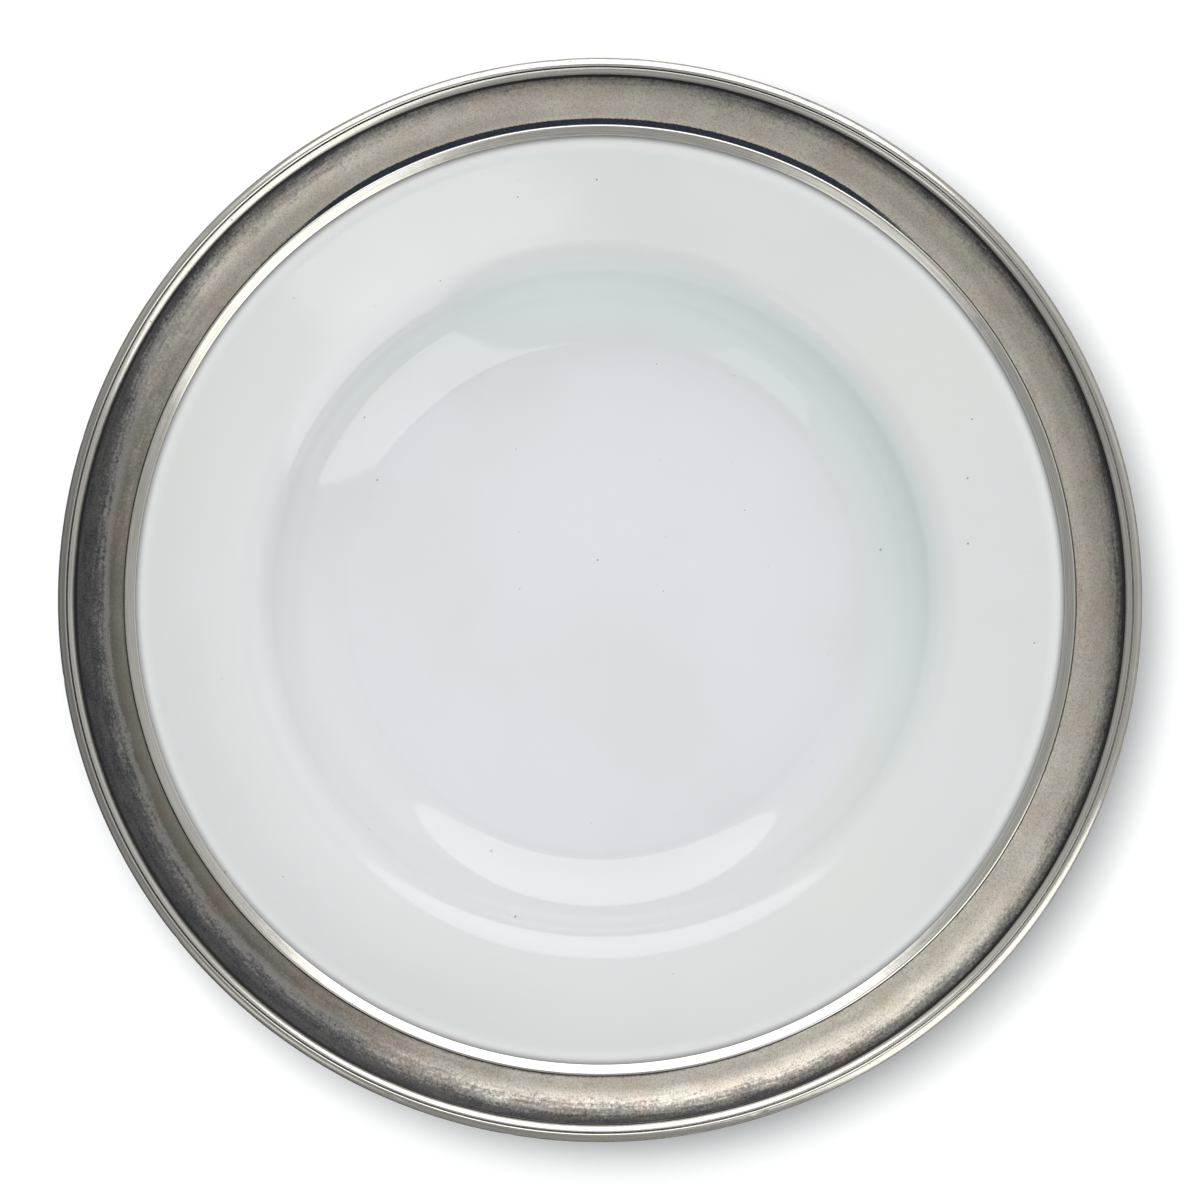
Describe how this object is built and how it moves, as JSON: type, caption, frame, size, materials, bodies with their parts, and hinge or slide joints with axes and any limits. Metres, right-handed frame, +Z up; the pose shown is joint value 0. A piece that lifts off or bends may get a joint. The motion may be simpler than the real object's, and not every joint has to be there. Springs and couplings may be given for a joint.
{
  "type": "soup bowl",
  "caption": "Wide rimmed soup bowl: a white glazed ceramic dish with a flange and foot ring, its edge held in a turned pewter rim with a hollow cove and a reeded border.",
  "frame": {"origin": "centre of the resting face of the foot ring", "axes": "+Z up along the axis that the bowl is turned about; the bowl is round, so +X and +Y are two square directions across it"},
  "size_m": [0.245, 0.245, 0.0356],
  "materials": {
    "white_glaze": "glossy white glaze with a faint green-blue cast and a few tiny specks, bare at the foot",
    "bedding_compound": "matt pale grey food-safe sealant",
    "pewter": "turned and lightly brushed pewter, dark patina left in the hollows and polished on the lip and reeds"
  },
  "bodies": {
    "root": {"ceramic_dish": "white_glaze", "bedding_ring": "bedding_compound", "pewter_rim": "pewter"}
  },
  "joints": []
}
